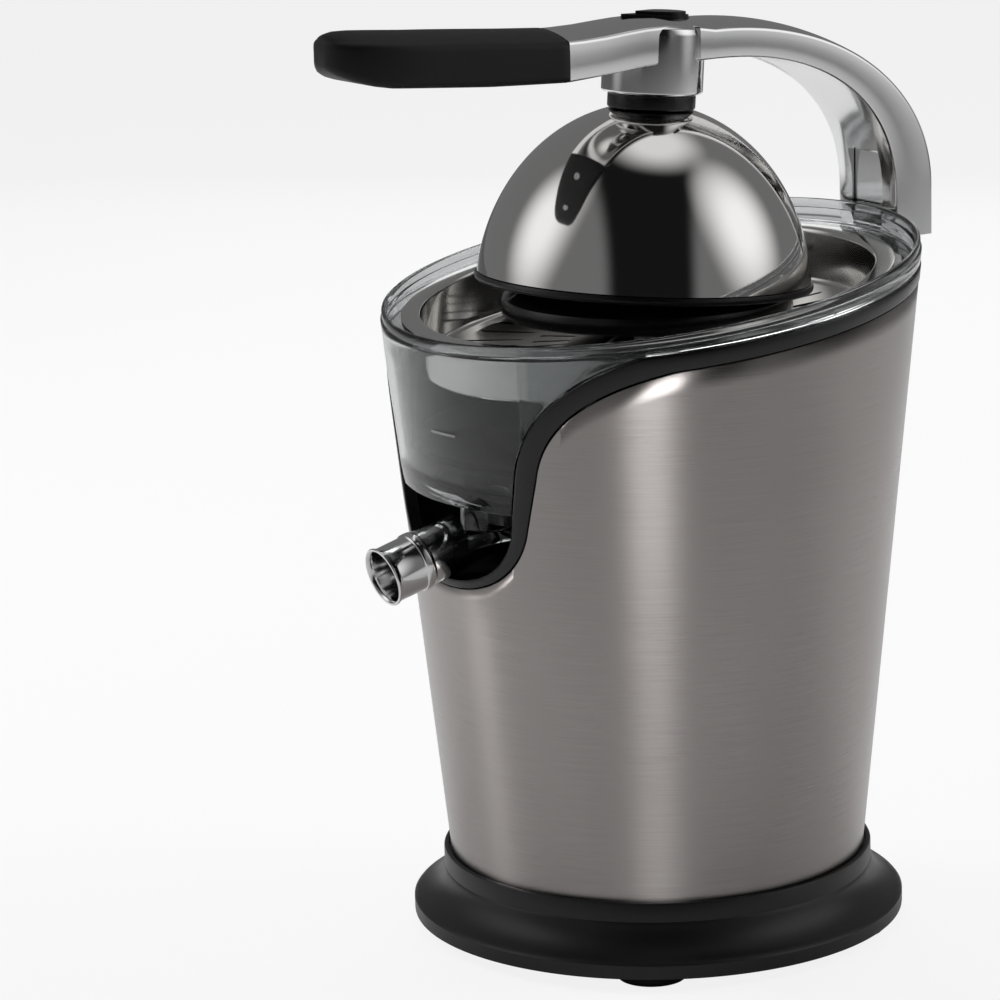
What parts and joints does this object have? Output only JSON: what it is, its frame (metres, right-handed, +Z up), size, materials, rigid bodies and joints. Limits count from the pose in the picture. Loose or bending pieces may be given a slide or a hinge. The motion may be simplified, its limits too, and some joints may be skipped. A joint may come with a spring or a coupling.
{
  "type": "lever citrus press juicer",
  "caption": "Electric citrus press with a flared brushed steel body, clear juice bowl, steel strainer, reamer, tilting spout and a hinged lever arm with a press dome.",
  "frame": {"origin": "centre of the round base on the plane the feet rest on", "axes": "+Z up, -Y to the front where the spout and the grip point, hinge on the +Y side"},
  "size_m": [0.1991, 0.2557, 0.3432],
  "materials": {
    "black_base": "fine matt texture",
    "black_trim": "satin",
    "steel_shell": "brushed round the body",
    "polished_steel": "mirror polish",
    "chrome_metal": "bright polish",
    "fixing_steel": "plain",
    "clear_bowl": "clear",
    "soft_grip": "soft touch",
    "seal_rubber": "matt",
    "gear_plastic": "moulded",
    "motor_steel": "zinc plated",
    "copper_wire": "enamelled copper wire",
    "plate_alloy": "die cast",
    "bronze": "sintered bronze",
    "switch_black": "moulded",
    "switch_red": "moulded",
    "black_cone": "satin"
  },
  "bodies": {
    "base": {"base_ring": "black_base", "bottom_cover": "black_base", "rubber_feet": "seal_rubber", "cover_screws": "fixing_steel", "cord_gland": "seal_rubber", "body_shell": "steel_shell", "edge_trim": "black_trim", "inner_housing": "black_base", "spout_recess": "black_trim", "gear_plate": "plate_alloy", "plate_screws": "fixing_steel", "gearbox_cover": "gear_plastic", "motor_can": "motor_steel", "motor_stator": "copper_wire", "motor_screws": "fixing_steel", "idler_pin": "fixing_steel", "lower_bush": "bronze", "upper_bush": "bronze", "shaft_seal": "seal_rubber", "return_spring": "fixing_steel", "microswitch": "switch_black", "juice_bowl": "clear_bowl", "strainer": "polished_steel", "spout_pin": "fixing_steel", "hinge_bracket": "chrome_metal", "bracket_screws": "fixing_steel"},
    "lever": {"lever_arm": "chrome_metal", "grip": "soft_grip", "grip_screws": "fixing_steel", "neck_collar": "black_trim", "press_dome": "polished_steel", "dome_lining": "black_trim", "dome_bolt": "fixing_steel", "hinge_pin": "fixing_steel", "pin_plug": "chrome_metal", "button_spring": "fixing_steel"},
    "drive": {"output_shaft": "fixing_steel", "output_gear": "gear_plastic", "reamer_cone": "black_cone"},
    "press_carrier": {"thrust_plate": "fixing_steel"},
    "idler": {"idler_gear": "gear_plastic"},
    "motor": {"motor_rotor": "fixing_steel"},
    "plunger": {"switch_plunger": "switch_red"},
    "spout": {"spout": "chrome_metal"},
    "button": {"release_button": "black_trim"}
  },
  "joints": [
    {"name": "lever_hinge", "type": "hinge", "parent": "base", "child": "lever", "pos_m": [0, 0.1085, 0.2565], "axis": [-1, 0, 0], "range_deg": [-4.25, 62]},
    {"name": "drive_press", "type": "slide", "parent": "base", "child": "press_carrier", "axis": [0, 0, -1], "range_m": [0, 0.0023], "stiffness_N_per_m": 3000, "springref_m": -0.002, "deforming": ["return_spring"]},
    {"name": "drive_spin", "type": "hinge", "parent": "press_carrier", "child": "drive", "pos_m": [0, 0, 0.2], "axis": [0, 0, 1], "continuous": true},
    {"name": "idler_spin", "type": "hinge", "parent": "base", "child": "idler", "pos_m": [-0.03, 0.018, 0.12], "axis": [0, 0, 1], "continuous": true},
    {"name": "motor_spin", "type": "hinge", "parent": "base", "child": "motor", "pos_m": [0, 0.018, 0.06], "axis": [0, 0, 1], "continuous": true},
    {"name": "plunger_slide", "type": "slide", "parent": "base", "child": "plunger", "axis": [0, 0, -1], "range_m": [0, 0.0023], "stiffness_N_per_m": 200, "springref_m": -0.001},
    {"name": "spout_tilt", "type": "hinge", "parent": "base", "child": "spout", "pos_m": [0, -0.06, 0.1535], "axis": [-1, 0, 0], "range_deg": [0, 12]},
    {"name": "button_press", "type": "slide", "parent": "lever", "child": "button", "axis": [0, -0.0741, -0.9973], "range_m": [0, 0.0012], "stiffness_N_per_m": 600, "springref_m": -0.002, "deforming": ["button_spring"]}
  ],
  "couplings": [
    {"joint": "idler_spin", "follows": "drive_spin", "ratio": -4},
    {"joint": "motor_spin", "follows": "drive_spin", "ratio": 16},
    {"joint": "plunger_slide", "follows": "drive_press", "ratio": 1}
  ]
}
